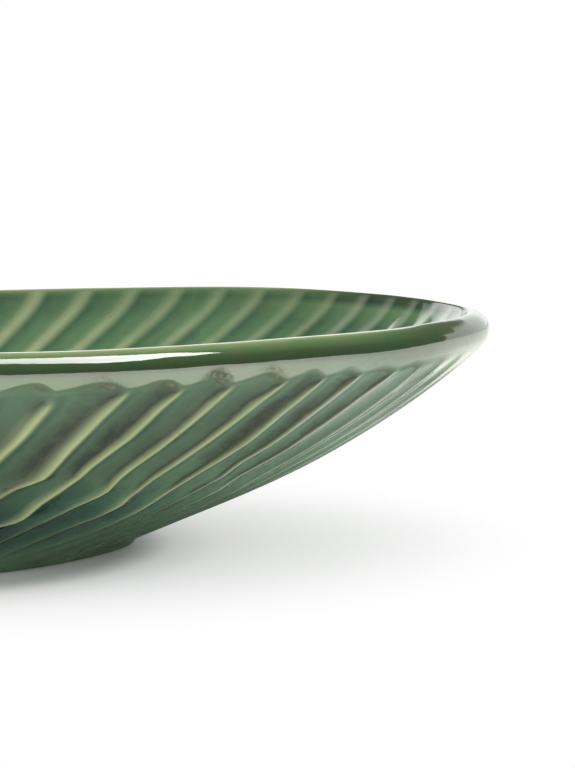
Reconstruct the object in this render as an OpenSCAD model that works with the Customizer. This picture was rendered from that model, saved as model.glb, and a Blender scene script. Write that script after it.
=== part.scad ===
// Leaf shaped plate: a ribbed stoneware dish, round at the leaf's tip and drawn in at its stem end,
// on a low leaf shaped foot, under a coat of green glaze.
// The tip points along +X, and the table is at z = 0.

/* [Leaf] */
// Length of the leaf over its lip, from the stem end to the tip
leaf_l = 226; // [190:1:270]
// Greatest width of the leaf over its lip
leaf_w = 143; // [120:1:165]
// Distance of the widest place from the middle of the length, towards the tip
widest_x = 4; // [0:0.5:15]
// Share of its width that the leaf loses as it narrows to the stem end
stem_point_share = 0.5; // [0.2:0.05:0.6]

/* [Lip] */
// Height of the lip's crest above the table, away from the shoulders
rim_h = 50.4; // [42:0.2:62]
// Extra height of the lip over the two shoulders beside the tip
shoulder_rise = 1.3; // [0:0.1:3]
// Thickness of the lip
lip_t = 5; // [4:0.1:5.6]
// Height of the plain band between the lip and the ribs
band_h = 3.6; // [2:0.1:7]

/* [Wall] */
// Thickness of the floor above the well
floor_t = 5.5; // [4.5:0.1:8]
// Distance of the floor's edge inside the foot's edge
heel_t = 4; // [2:0.1:7]
// Share of the wall's height that comes from its upward bend near the lip
wall_bend_share = 0.3; // [0.15:0.05:0.45]

/* [Ribs] */
// Number of ribs around the leaf
rib_count = 58; // [44:2:60]
// Depth of the hollows between the ribs outside
rib_depth = 1.3; // [0.4:0.1:1.6]
// Depth of the hollows between the ribs inside
inner_rib_depth = 1; // [0.3:0.1:1.4]
// Angle in degrees that a rib swings towards the stem end on its way down the wall
rib_swing = 25; // [0:1:28]
// Depth of the midrib's groove below the floor
midrib_d = 1; // [0.2:0.1:1.6]

/* [Foot] */
// Length of the foot where it meets the wall
foot_l = 96; // [84:1:110]
// Width of the foot where it meets the wall
foot_w = 84; // [72:1:94]
// Distance of the foot's middle from the middle of the leaf, towards the stem end
foot_x = 12; // [4:0.5:18]
// Share of its width that the foot loses at its two pointed ends
foot_point_share = 0.3; // [0.1:0.05:0.45]
// Height of the foot
foot_h = 1.8; // [1.4:0.1:3]
// Distance that the foot's side draws in on its way down to the table
foot_draft = 1.5; // [0.8:0.1:3]
// Width of the bare ring that stands on the table
foot_ring_w = 4; // [2.5:0.1:6]
// Depth of the well inside the foot ring
well_depth = 1.5; // [1:0.1:2.5]

/* [Glaze] */
// Thickness of the glaze
glaze_t = 0.5; // [0.3:0.05:0.7]
// Height of the bare clay edge under the glaze
bare_h = 0.7; // [0.4:0.1:1.2]

/* [Hidden] */

// The wall rises from the foot to the plain band, and the inside from the floor to the lip
lip_r = lip_t/2;
band_top = rim_h - lip_r;
wall_rise = band_top - band_h - foot_h;
floor_z = well_depth + floor_t;
inner_rise = band_top - floor_z;

// Form of the leaf: how late it narrows to the stem, and where its shoulders lie and how far they spread
stem_power = 5;
shoulder_share = 0.67;
shoulder_spread_share = 0.42;
// Form of the inside: how softly the floor turns up into the wall, and how long the midrib is
floor_power = 1.25;
midrib_share = 0.9;
// Slope of the well's side as a share of its depth
well_draft_share = 0.8;

// Sections of the wall, the lip and the floor, on which the skin is stretched
wall_shares = [0, 0.12, 0.35, 0.6, 0.82, 0.94, 1];
lip_turns = [0, 45, 90, 135, 180];
inner_shares = [0.93, 0.75, 0.5, 0.25, 0];
floor_shares = [0.5];
// Shares of the wall where the ribs rise out of the foot and sink into the band
rib_foot_shares = [0, 0.12];
rib_top_shares = [0.94, 1];
// Shares of the half length, counted from the middle towards the tip, between which the pleats deepen
stem_fade_shares = [-1, -0.85];

// One column of the skin runs along each rib, and one along each hollow beside it
columns = 2*rib_count;
column_turn = 360/columns;
half_columns = columns/2;
skin_rows = 1 + len(wall_shares) + len(lip_turns) + len(inner_shares) + len(floor_shares);

function between(a, b, share) = a + (b - a)*share;
function unit(v) = v/norm(v);
function ramp(shares, v) = min(max((v - shares[0])/(shares[1] - shares[0]), 0), 1);

// Outline of the leaf over its lip and outline of the foot, by the angle from the tip
function rim_at(t) = [
    leaf_l/2*cos(t) + widest_x*pow(sin(t), 2),
    leaf_w/2*sin(t)*(1 - stem_point_share*pow((1 - cos(t))/2, stem_power))
];
function foot_at(t, inset = 0) = [
    (foot_l/2 - inset)*cos(t) - foot_x,
    (foot_w/2 - inset)*sin(t)*(1 - foot_point_share*pow(cos(t), 2))
];
// Direction out of each outline, square to it
function square_to(along) = unit([along.y, -along.x]);
function rim_out(t) = square_to(rim_at(t + column_turn/2) - rim_at(t - column_turn/2));
function foot_out(t) = square_to(foot_at(t + column_turn/2) - foot_at(t - column_turn/2));

function swell_at(t) = shoulder_rise*exp(-pow((cos(t) - shoulder_share)/shoulder_spread_share, 2));
function rib_turn(u, share) = u + rib_swing*sin(u)*(1 - share);
// The wall is pleated: where a rib stands out on the outside, a hollow lies behind it on the inside.
// The pleats fade where they would crowd together at the stem end.
function pleat_at(u) = ramp(stem_fade_shares, cos(u));
function hollow_at(u) = pleat_at(u)*(1 - cos(rib_count*u))/2;
function inner_hollow_at(u) = pleat_at(u)*(1 + cos(rib_count*u))/2;
function rib_reach(share) = ramp(rib_foot_shares, share)*(1 - ramp(rib_top_shares, share));

// Rise of a wall by its share of the way out, and its steepness
function bend_up(share, power) = (1 - wall_bend_share)*pow(share, power) + wall_bend_share*pow(share, 3);
function bend_rate(share, power) =
    (1 - wall_bend_share)*power*pow(share, power - 1) + 3*wall_bend_share*pow(share, 2);

// Points of the skin: sunk is the depth below the face of the glaze
function foot_side_point(u, z, sunk) =
    let (at = foot_at(rib_turn(u, 0), foot_draft*(1 - z/foot_h) + sunk))
    [at.x, at.y, z];

function wall_point(u, share, sunk) =
    let (
        t = rib_turn(u, share),
        span = rim_at(t) - foot_at(t),
        out = unit(between(foot_out(t), rim_out(t), share)),
        steep = atan2(wall_rise*bend_rate(share, 1), span*out),
        at = foot_at(t) + span*share,
        z = foot_h + wall_rise*bend_up(share, 1) + swell_at(t)*share,
        depth = sunk + rib_depth*hollow_at(u)*rib_reach(share),
        inward = depth*sin(steep)
    )
    [at.x - inward*out.x, at.y - inward*out.y, z + depth*cos(steep)];

function lip_point(u, turn, sunk) =
    let (
        out = rim_out(u),
        at = rim_at(u) + out*((lip_r - sunk)*cos(turn) - lip_r)
    )
    [at.x, at.y, band_top + swell_at(u) + (lip_r - sunk)*sin(turn)];

function inner_point(u, share, sunk) =
    let (
        t = rib_turn(u, share),
        span = rim_at(t) - lip_t*rim_out(t) - foot_at(t, heel_t),
        out = unit(between(foot_out(t), rim_out(t), share)),
        steep = atan2(inner_rise*bend_rate(share, floor_power), span*out),
        at = foot_at(t, heel_t) + span*share,
        z = floor_z + inner_rise*bend_up(share, floor_power) + swell_at(t)*share,
        depth = sunk + inner_rib_depth*inner_hollow_at(u),
        outward = depth*sin(steep)
    )
    [at.x + outward*out.x, at.y + outward*out.y, z - depth*cos(steep)];

// Across the floor the share runs from 0 at its edge to 1 on the midrib
function floor_point(u, share, sunk) =
    let (
        t = rib_turn(u, -share),
        edge = foot_at(t, heel_t),
        midrib_x = between(-foot_x, edge.x, midrib_share),
        depth = sunk + inner_rib_depth*inner_hollow_at(u)*(1 - share)
    )
    [between(edge.x, midrib_x, share), edge.y*(1 - share), floor_z - midrib_d*pow(share, 2) - depth];

// The skin in rows, from the glaze's edge on the foot, over the lip, to the midrib
function skin(sunk) = concat(
    [for (i = [0:columns - 1]) foot_side_point(i*column_turn, bare_h, sunk)],
    [for (share = wall_shares, i = [0:columns - 1]) wall_point(i*column_turn, share, sunk)],
    [for (turn = lip_turns, i = [0:columns - 1]) lip_point(i*column_turn, turn, sunk)],
    [for (share = inner_shares, i = [0:columns - 1]) inner_point(i*column_turn, share, sunk)],
    [for (share = floor_shares, i = [0:columns - 1]) floor_point(i*column_turn, share, sunk)],
    [for (i = [0:half_columns]) floor_point(i*column_turn, 1, sunk)]
);
skin_size = skin_rows*columns + half_columns + 1;

// Triangles between rows: both halves of the leaf share the points of the midrib
function place(row, i) = row*columns + i%columns;
function midrib_place(i) = skin_rows*columns + min(i%columns, columns - i%columns);
function strip(a, b, c, d) = [[a, d, c], [a, c, b]];
function rows_mesh(first, last, start = 0) = [
    for (row = [first:last - 1], i = [0:columns - 1])
        each strip(start + place(row, i), start + place(row, i + 1),
                   start + place(row + 1, i + 1), start + place(row + 1, i))
];
function skin_mesh(start = 0) = concat(
    rows_mesh(0, skin_rows - 1, start),
    [for (i = [0:columns - 1])
        each strip(start + place(skin_rows - 1, i), start + place(skin_rows - 1, i + 1),
                   start + midrib_place(i + 1), start + midrib_place(i))]
);
function turned(faces) = [for (face = faces) [face[0], face[2], face[1]]];

// Rings under the foot, and the middle of the well
bare_inset = foot_draft + glaze_t;
ring_inset = bare_inset + foot_ring_w;
well_inset = ring_inset + well_draft_share*well_depth;
function foot_ring(inset, z) = [
    for (i = [0:columns - 1])
        let (at = foot_at(rib_turn(i*column_turn, 0), inset))
        [at.x, at.y, z]
];
function well_middle(z) = [[-foot_x, 0, z]];

// Stoneware leaf with its lip, ribs and foot, as it stands under the glaze
module clay_body() {
    rings = concat(foot_ring(well_inset, well_depth), foot_ring(ring_inset, 0), foot_ring(bare_inset, 0));
    skin_start = len(rings);
    middle = skin_start + skin_size;
    color("#b7a78d")
        polyhedron(
            points = concat(rings, skin(glaze_t), well_middle(well_depth)),
            faces = concat(
                [for (i = [0:columns - 1]) [middle, place(0, i), place(0, i + 1)]],
                rows_mesh(0, 3),
                skin_mesh(skin_start)
            )
        );
}

// Coat of glaze over the outside, the lip and the inside
module glaze_coat() {
    color("#557a52")
        polyhedron(
            points = concat(skin(0), skin(glaze_t)),
            faces = concat(
                skin_mesh(),
                turned(skin_mesh(skin_size)),
                [for (i = [0:columns - 1])
                    each turned(strip(place(0, i), place(0, i + 1),
                                      skin_size + place(0, i + 1), skin_size + place(0, i)))]
            )
        );
}

// Pool of glaze in the well, level with the foot ring's inner side
module underside_glaze() {
    face_inset = between(well_inset, ring_inset, glaze_t/well_depth);
    face_z = well_depth - glaze_t;
    face_middle = 2*columns;
    back_middle = face_middle + 1;
    color("#4a6b49")
        polyhedron(
            points = concat(
                foot_ring(face_inset, face_z),
                foot_ring(well_inset, well_depth),
                well_middle(face_z),
                well_middle(well_depth)
            ),
            faces = concat(
                [for (i = [0:columns - 1]) [face_middle, place(0, i), place(0, i + 1)]],
                rows_mesh(0, 1),
                [for (i = [0:columns - 1]) [place(1, i), back_middle, place(1, i + 1)]]
            )
        );
}

clay_body();
glaze_coat();
underside_glaze();
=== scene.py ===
import bpy
import numpy as np
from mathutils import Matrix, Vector


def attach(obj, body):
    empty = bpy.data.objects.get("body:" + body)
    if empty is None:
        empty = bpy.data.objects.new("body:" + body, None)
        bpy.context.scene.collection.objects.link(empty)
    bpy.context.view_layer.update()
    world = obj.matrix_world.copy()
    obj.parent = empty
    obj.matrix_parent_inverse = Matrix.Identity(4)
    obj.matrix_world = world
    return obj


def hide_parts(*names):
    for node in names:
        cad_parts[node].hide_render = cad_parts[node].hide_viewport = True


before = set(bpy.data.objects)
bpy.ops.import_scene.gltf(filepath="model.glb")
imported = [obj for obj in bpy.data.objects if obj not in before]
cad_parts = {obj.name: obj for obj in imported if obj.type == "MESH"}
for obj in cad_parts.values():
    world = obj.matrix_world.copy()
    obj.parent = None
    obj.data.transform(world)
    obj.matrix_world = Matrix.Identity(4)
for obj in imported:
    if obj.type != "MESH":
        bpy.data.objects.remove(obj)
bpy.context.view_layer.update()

# The plate's own sizes, in millimetres and degrees: the tip points along +X and the table is at z = 0
MM = 0.001
LEAF_L, LEAF_W, WIDEST_X, STEM_POINT, STEM_POWER = 226.0, 143.0, 4.0, 0.5, 5
RIM_H, SHOULDER_RISE, SHOULDER_AT, SHOULDER_SPREAD = 50.4, 1.3, 0.67, 0.42
LIP_T, FLOOR_T, HEEL_T, WALL_BEND, FLOOR_POWER = 5.0, 5.5, 4.0, 0.3, 1.25
RIBS, RIB_DEPTH, INNER_RIB_DEPTH, RIB_SWING = 58, 1.05, 0.5, np.radians(25.0)
MIDRIB_D, MIDRIB_SHARE = 1.0, 0.9
FOOT_L, FOOT_W, FOOT_X, FOOT_POINT = 96.0, 84.0, 12.0, 0.3
FOOT_H, FOOT_DRAFT, FOOT_RING_W, WELL_DEPTH, WELL_DRAFT = 1.8, 1.5, 4.0, 1.5, 0.8
GLAZE_T, BARE_H = 0.5, 0.3
TIP_REACH, TIP_SPREAD = 1.2, 0.05

BAND_TOP = RIM_H - LIP_T/2
FLOOR_Z = WELL_DEPTH + FLOOR_T
INNER_RISE = BAND_TOP - FLOOR_Z
PITCH = 2*np.pi/RIBS
STEM_RIB = RIBS//2


def smooth(a, b, v):
    """Share of the way of a value from a to b, with a soft start and a soft end."""
    x = np.clip((v - a)/(b - a), 0, 1)
    return x*x*(3 - 2*x)


def blend(a, b, share):
    return a + (b - a)*share


def bell(value, middle, spread):
    """1 in the middle, and fading to 0 on both sides of it."""
    return np.exp(-((value - middle)/spread)**2)


def unit(v):
    """Directions of length 1; a direction without a length stays 0."""
    return v/np.maximum(np.linalg.norm(v, axis=-1, keepdims=True), 1e-12)


def placed(plan, z):
    """Points of a plan, at a height."""
    return np.concatenate([plan, (z + 0*plan[..., 0])[..., None]], -1)


# The lip's section, as arcs: the angles its face looks up at, from and to, and the radius between them.
# The first arcs are the plain band under the lip and its turn, and the last one is the tight inner edge.
BAND_TURN, CREST = -24.0, 90.0
LIP_ARCS = ((BAND_TURN, -12.0, 2.5), (-12.0, 0.0, 17.0), (0.0, 33.5, 4.4), (33.5, 46.0, 8.2),
            (46.0, CREST, 3.4), (CREST, 175.0, 0.9))
# At the tip the lip is lower, and the band under it turns in to the wall in one round
TIP_LIP_SHARE, TIP_BAND_TURN, TIP_BAND_R = 0.7, -48.0, 6.6
# Along the middle of the side of -Y the crest has sunk a little, above the turn given
CREST_SINK, CREST_TURN, CREST_POWER = 0.55, 46.0, 1.5
# The wall ends a little inside the band's lower edge, and a little below it
WALL_SET_BACK, WALL_DROP = 0.06, 0.14


def lip_point(turn, arcs=LIP_ARCS):
    """How far out of the outline the lip's face is, and how high over its lower edge.

    The place is where the face looks up at the angle given.
    """
    out = rise = 0.0
    for low, high, radius in arcs:
        start, end = np.radians(min(max(low, 0.0), high)), np.radians(np.clip(turn, low, high))
        out += radius*(np.cos(end) - np.cos(start))
        rise += radius*(np.sin(end) - np.sin(start))
    return out, rise


LIP_RISE = lip_point(CREST)[1]


def at_tip(t):
    """How much of the tip's own lip there is at an angle from the tip."""
    return smooth(0.7, 0.98, np.cos(t))


def crest_sink(t):
    """How far the crest has sunk at an angle from the tip."""
    return CREST_SINK*smooth(0.44, 0.68, -np.sin(t))


def edge_point(turn, t):
    """How far the lip or the band is out of the outline and over RIM_H, at an angle from the tip."""
    part = at_tip(t)
    out, rise = lip_point(turn)
    drop = LIP_RISE*(1 - (1 - TIP_LIP_SHARE)*part)
    if turn >= 0:
        low, here = np.sin(np.radians([CREST_TURN, min(turn, CREST)]))
        sunk = np.interp(here, [low, 1], [0, 1])**CREST_POWER
        return out + 0*part, rise*drop/LIP_RISE - drop - sunk*crest_sink(t)
    tip_out, tip_rise = lip_point(turn/BAND_TURN*TIP_BAND_TURN, ((TIP_BAND_TURN, 0.0, TIP_BAND_R),))
    return blend(out, tip_out, part), blend(rise, tip_rise, part) - drop


def wall_top(t):
    """Where the wall ends above: how far in from the outline, and how high over the foot."""
    out, rise = edge_point(BAND_TURN, t)
    return WALL_SET_BACK - out, RIM_H + rise - WALL_DROP - FOOT_H


def leaf_outline(t):
    """Points of the leaf's outline over the lip, by the angle from the tip."""
    tip = TIP_REACH*np.exp((np.cos(t) - 1)/TIP_SPREAD)
    x = LEAF_L/2*np.cos(t) + WIDEST_X*np.sin(t)**2 + tip
    y = LEAF_W/2*np.sin(t)*(1 - STEM_POINT*((1 - np.cos(t))/2)**STEM_POWER)
    return np.stack([x, y], -1)


def foot_outline(t, inset=0.0):
    """Points of the foot's outline where it meets the wall, drawn in by the inset."""
    x = (FOOT_L/2 - inset)*np.cos(t) - FOOT_X
    y = (FOOT_W/2 - inset)*np.sin(t)*(1 - FOOT_POINT*np.cos(t)**2)
    return np.stack([x, y], -1)


def outward(outline, t):
    """Direction out of an outline, square to it."""
    step = PITCH/4
    along = outline(t + step) - outline(t - step)
    return unit(np.stack([along[..., 1], -along[..., 0]], -1))


def shoulder(t):
    """How far the lip rises at an angle from the tip, on its way to the tip."""
    return SHOULDER_RISE*bell(np.cos(t), SHOULDER_AT, SHOULDER_SPREAD)


def lean(u, share):
    """Angle of a rib at a share of its way up: towards the foot it swings to the stem end."""
    return u + RIB_SWING*np.sin(u)*(1 - share)


def bend_up(share, power):
    """Share of the wall's height at a share of its way up: it bends up towards the lip."""
    return (1 - WALL_BEND)*share**power + WALL_BEND*share**3


# Ribs. Each one is drawn: a stroke down from the lip meets a stroke up from the foot, and there it
# bends. A stroke is a line of (share of the way up, shift), with shifts in pitches, away from the tip.
chance = np.random.default_rng(58)


def drawn_stroke(bend, shift, foot, top):
    """A stroke that leans furthest to the tip at its bend, between its foot and its top."""
    return ((0, foot), (0.5*bend, blend(foot, shift, 0.3)), (bend - 0.06, blend(foot, shift, 0.6)),
            (bend, shift), (bend + 0.06, 0.55*shift), (bend + 0.2, 0.2*shift), (0.88, 0.75*top + 0.03),
            (1, top))


strokes = []
for _ in range(RIBS):
    wander = chance.uniform(-1, 1, 4)
    strokes.append(drawn_stroke(0.43 + 0.12*wander[0], -0.52 + 0.12*wander[1], -0.1 + 0.1*wander[2],
                                0.09 + 0.04*wander[3]))
# Strokes of the ribs beside the tip on the side of -Y, counted back from the tip
near_strokes = {
    17: drawn_stroke(0.5, -0.4, -0.1, 0.25),
    16: drawn_stroke(0.56, -0.3, -0.1, 0.4),
    15: drawn_stroke(0.45, -0.4, -0.15, 0.5),
    14: drawn_stroke(0.52, -0.25, -0.1, 0.62),
    13: ((0, -0.1), (0.55, -0.05), (0.7, 0.17), (0.758, 0.23), (0.834, 0.29), (0.964, 0.53), (1, 0.66)),
    12: ((0, -0.05), (0.54, 0.05), (0.594, 0.06), (0.64, -0.27), (0.662, -0.26), (0.786, 0.08), (0.9, 0.29),
         (1, 0.43)),
    11: ((0, -0.05), (0.25, -0.05), (0.345, -0.14), (0.359, -0.17), (0.372, -0.39), (0.388, -0.46),
         (0.408, -0.44), (0.5, -0.18), (0.647, -0.04), (0.694, 0.08), (0.764, 0.15), (0.819, 0.17),
         (0.933, 0.4), (1, 0.45)),
    10: ((0, 0), (0.223, -0.07), (0.455, -0.18), (0.538, -0.37), (0.625, -0.05), (0.666, 0.04),
         (0.761, 0.13), (1, 0.51)),
    9: ((0, 0), (0.087, -0.05), (0.282, -0.24), (0.36, -0.41), (0.38, -0.5), (0.439, -0.52), (0.502, -0.25),
        (0.591, 0.01), (0.93, 0.4), (1, 0.4)),
    8: ((0, -0.05), (0.136, -0.17), (0.202, -0.49), (0.23, -0.53), (0.388, -0.54), (0.51, -0.2),
        (0.609, -0.07), (0.665, -0.05), (0.751, 0.03), (0.864, 0.33), (1, 0.52)),
    7: ((0, -0.35), (0.212, -0.35), (0.373, -0.25), (0.505, -0.1), (0.561, -0.14), (0.639, 0.16),
        (0.721, 0.18), (0.849, 0.42), (1, 0.61)),
    6: ((0, -0.2), (0.3, -0.15), (0.444, -0.07), (0.474, -0.04), (0.524, 0.2), (0.562, 0.32), (0.65, 0.3),
        (0.695, 0.31), (0.734, 0.42), (0.907, 0.61), (1, 0.57)),
    5: ((0, -0.15), (0.45, -0.1), (0.52, 0.15), (0.65, 0.3), (0.821, 0.45), (0.93, 0.52), (1, 0.66)),
    4: ((0, -0.1), (0.42, -0.1), (0.5, 0.1), (0.65, 0.25), (0.85, 0.45), (1, 0.56)),
    3: ((0, -0.1), (0.4, -0.08), (0.5, 0.06), (0.8, 0.3), (1, 0.42)),
    2: ((0, -0.05), (0.4, -0.05), (0.8, 0.2), (1, 0.28)),
    1: ((0, 0), (0.4, 0), (1, 0.14)),
}
for back, stroke in near_strokes.items():
    strokes[RIBS - back] = stroke
for still in (0, STEM_RIB):
    strokes[still] = ((0, 0), (0.45, 0), (1, 0))
# The bend is where a stroke leans furthest to the tip; a rib is broad down to it, and thin below. Beside the
# tip, where some strokes lean little, it is given.
bend_share = np.array([min(stroke, key=lambda knot: knot[1])[0] for stroke in strokes])
for back, bend in ((13, 0.6), (7, 0.561), (6, 0.46), (5, 0.46), (4, 0.43), (3, 0.4), (2, 0.4), (1, 0.4)):
    bend_share[RIBS - back] = bend
top_shift = np.array([stroke[-1][1] for stroke in strokes])
rib_strength = 1 + 0.1*chance.uniform(-1, 1, RIBS)
finger_lift = 0.35*chance.uniform(-1, 1, RIBS)
pale_width = 0.8 + 0.25*chance.uniform(-1, 1, RIBS)
pale_start = 1.2 + 0.5*chance.uniform(-1, 1, RIBS)
brown = 0.3 + 0.7*chance.uniform(0, 1, RIBS)
olive_spot = 0.8*chance.uniform(0, 1, RIBS)
burn = 0.8*chance.uniform(0, 1, RIBS)**2
# The same of the ribs beside the tip: finger's lift, rib's width, where it turns pale, and how brown, olive
# and burnt the glaze is beside it
near_looks = {
    13: (0.0, 1.1, 2.6, 0.2, 0.6, 0.0),
    12: (0.1, 0.98, 0.6, 0.8, 1.0, 0.3),
    11: (0.2, 0.76, 0.8, 1.0, 0.9, 0.0),
    10: (0.1, 0.62, 0.8, 0.3, 1.0, 0.8),
    9: (0.0, 0.54, 0.8, 0.35, 1.0, 0.4),
    8: (0.2, 0.46, 0.6, 1.1, 0.3, 0.0),
    7: (0.1, 0.42, 0.5, 1.0, 0.1, 0.0),
    6: (0.0, 0.36, 0.5, 0.9, 0.0, 0.0),
    5: (0.0, 0.34, 0.5, 0.8, 0.0, 0.0),
    4: (0.0, 0.32, 0.5, 0.7, 0.0, 0.0),
    3: (0.0, 0.32, 0.5, 0.5, 0.0, 0.0),
    2: (0.0, 0.32, 0.5, 0.4, 0.0, 0.0),
    1: (0.0, 0.32, 0.5, 0.3, 0.0, 0.0),
}
for back, looks in near_looks.items():
    for values, value in zip((finger_lift, pale_width, pale_start, brown, olive_spot, burn), looks):
        values[RIBS - back] = value


def rib_shift(share):
    """Shift of every rib at a share of the way up the outer wall."""
    return np.array([np.interp(share, *zip(*stroke)) for stroke in strokes])


# Columns of the skin stand closest beside the ribs. Across a hollow, "way" runs from the rib on the stem's
# side, at 0, to the rib on the tip's side, at 1.
WAYS = np.array([0, 0.025, 0.055, 0.09, 0.14, 0.22, 0.33, 0.45, 0.57, 0.69, 0.79, 0.87, 0.93, 0.97])
PER_RIB = len(WAYS)
COLUMNS = RIBS*PER_RIB
tip_side = np.concatenate([[0.0], 1 - WAYS[:0:-1]])
column_rib = np.repeat(np.arange(RIBS), PER_RIB)
far_half = column_rib < STEM_RIB
column_part = np.where(far_half, np.tile(tip_side, RIBS), np.tile(WAYS, RIBS))
way = np.where(far_half, 1 - column_part, column_part)
next_rib = (column_rib + 1) % RIBS
stem_rib_of = np.where(far_half, next_rib, column_rib)
tip_rib_of = np.where(far_half, column_rib, next_rib)


def column_angles(shift):
    """Angle of every column, for a shift of every rib."""
    turned = np.where(np.arange(RIBS) < STEM_RIB, 1.0, -1.0)*shift
    here = column_rib + turned[column_rib]
    there = column_rib + 1 + turned[next_rib]
    return PITCH*blend(here, there, column_part)


def across_ribs(values):
    """A value of every rib, spread over the columns between the ribs."""
    return blend(values[column_rib], values[next_rib], column_part)


# Rows of the skin without its ribs, from the glaze's edge on the foot, over the lip, to the midrib
FOOT_ROWS = (0.3, 0.65, 1.2)
WALL_ROWS = np.concatenate([[0.0, 0.012, 0.028, 0.05], np.linspace(0.078, 0.87, 33),
                            np.linspace(0.888, 1.0, 9)])
LIP_TURNS = (-24, -18, -12, -11, -10, -9, -8, -7, -6, -4.5, -2.5, 0, 6, 12, 18, 24, 29, 33, 37, 42, 48, 56,
             66, 78, 90, 110, 130, 152, 175)
INNER_ROWS = np.concatenate([[0.985, 0.965, 0.94, 0.91], np.linspace(0.875, 0.0, 14)])
FLOOR_ROWS = np.array([0.12, 0.28, 0.45, 0.62, 0.78, 0.9, 1.0])

rows, row_kind, row_share = [], [], []


def foot_ring(inset, z):
    """A row of points round the foot, drawn in by the inset, at a height."""
    return placed(foot_outline(lean(column_angles(rib_shift(0.0)), 0.0), inset), z)


def add_row(kind, share, points):
    rows.append(points)
    row_kind.append(kind)
    row_share.append(share)


for z in FOOT_ROWS:
    add_row("foot", 0.0, foot_ring(FOOT_DRAFT*(1 - z/FOOT_H), z))
for share in WALL_ROWS:
    t = lean(column_angles(rib_shift(share)), share)
    set_back, wall_rise = wall_top(t)
    foot, rim = foot_outline(t), leaf_outline(t) - set_back[:, None]*outward(leaf_outline, t)
    height = FOOT_H + wall_rise*bend_up(share, 1) + shoulder(t)*share
    add_row("wall", share, placed(blend(foot, rim, share), height))
lip_angles = column_angles(top_shift)
lip_out = outward(leaf_outline, lip_angles)
for turn in LIP_TURNS:
    out, rise = edge_point(turn, lip_angles)
    plan = leaf_outline(lip_angles) + out[:, None]*lip_out
    add_row("lip", turn/180, placed(plan, RIM_H + shoulder(lip_angles) + rise))
for share in INNER_ROWS:
    t = lean(column_angles(top_shift*smooth(0, 1, share)), share)
    foot, rim = foot_outline(t, HEEL_T), leaf_outline(t) - LIP_T*outward(leaf_outline, t)
    height = FLOOR_Z + INNER_RISE*bend_up(share, FLOOR_POWER) + shoulder(t)*share
    add_row("inner", share, placed(blend(foot, rim, share), height))
for share in FLOOR_ROWS:
    t = lean(column_angles(np.zeros(RIBS)), -share)
    edge = foot_outline(t, HEEL_T)
    midrib_x = -FOOT_X + (edge[:, 0] + FOOT_X)*MIDRIB_SHARE
    plan = np.stack([blend(edge[:, 0], midrib_x, share), edge[:, 1]*(1 - share)], -1)
    add_row("floor", share, placed(plan, FLOOR_Z - MIDRIB_D*share**2))

skin = np.array(rows)
row_kind = np.array(row_kind)
row_share = np.array(row_share)
ROWS = len(rows)


def row_ends(kind):
    """The first and the last row of a kind."""
    found = np.nonzero(row_kind == kind)[0]
    return found[0], found[-1]


# Round the corners where the wall meets the foot, the plain band, the lip and the floor
def soften(first, last, times):
    for _ in range(times):
        middle = (skin[first - 1:last] + 2*skin[first:last + 1] + skin[first + 1:last + 2])/4
        skin[first:last + 1] = middle


wall_first, wall_last = row_ends("wall")
lip_first, lip_last = row_ends("lip")
inner_first, inner_last = row_ends("inner")
floor_first = row_ends("floor")[0]
# Rows below the lip, over it, and inside with the floor
outer, lip, inner = slice(0, lip_first), slice(lip_first, lip_last + 1), slice(inner_first, ROWS)
soften(1, wall_first + 3, 2)
soften(wall_last - 3, lip_first + 3, 6)
soften(lip_last - 2, inner_first + 3, 4)
soften(inner_last - 3, floor_first + 2, 6)


def skin_normals(points):
    """Direction out of the skin at every point of its rows."""
    up = np.empty_like(points)
    up[1:-1] = points[2:] - points[:-2]
    up[0], up[-1] = points[1] - points[0], points[-1] - points[-2]
    round_way = np.roll(points, -1, 1) - np.roll(points, 1, 1)
    return unit(np.cross(round_way, up))


normals = skin_normals(skin)
# Along the midrib both halves of the floor face straight up
normals[-1] = (0, 0, 1)

# Way down the wall from the crest of the lip, along the outside
step_l = np.linalg.norm(np.diff(skin, axis=0), axis=-1)
climbed = np.concatenate([np.zeros((1, COLUMNS)), np.cumsum(step_l, 0)])
crest_row = lip_first + LIP_TURNS.index(CREST)
below_crest = climbed[crest_row] - climbed

# Form of a hollow from rib to rib: a gouge, steeper under the rib on the tip's side, with rounded ribs
GOUGE_STEPS, GOUGE_LOWEST, BLUR_STEPS, BLUR_SPREAD = 401, 0.58, 40, 17.0
fine = np.linspace(0, 1, GOUGE_STEPS)
gouge = 1 - (2*np.interp(fine, [0, GOUGE_LOWEST, 1], [0, 0.5, 1]) - 1)**2
blur = np.exp(-0.5*(np.arange(-BLUR_STEPS, BLUR_STEPS + 1)/BLUR_SPREAD)**2)
repeated = np.concatenate([gouge[-BLUR_STEPS - 1:-1], gouge, gouge[1:BLUR_STEPS + 1]])
gouge = np.convolve(repeated, blur/blur.sum(), "valid")
gouge = (gouge - gouge.min())/(gouge.max() - gouge.min())
hollow = np.interp(way, fine, gouge)

# The leaf from its stem end, at -1, to its tip, at 1. The ribs fade out at the stem end.
to_tip = np.cos(lip_angles)
PLEAT_FADE = 0.15
pleat = np.clip((to_tip + 1)/PLEAT_FADE, 0, 1)


def towards_tip(start, end):
    """Share of the way from one place along the leaf to another."""
    return smooth(start, end, to_tip)


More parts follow.
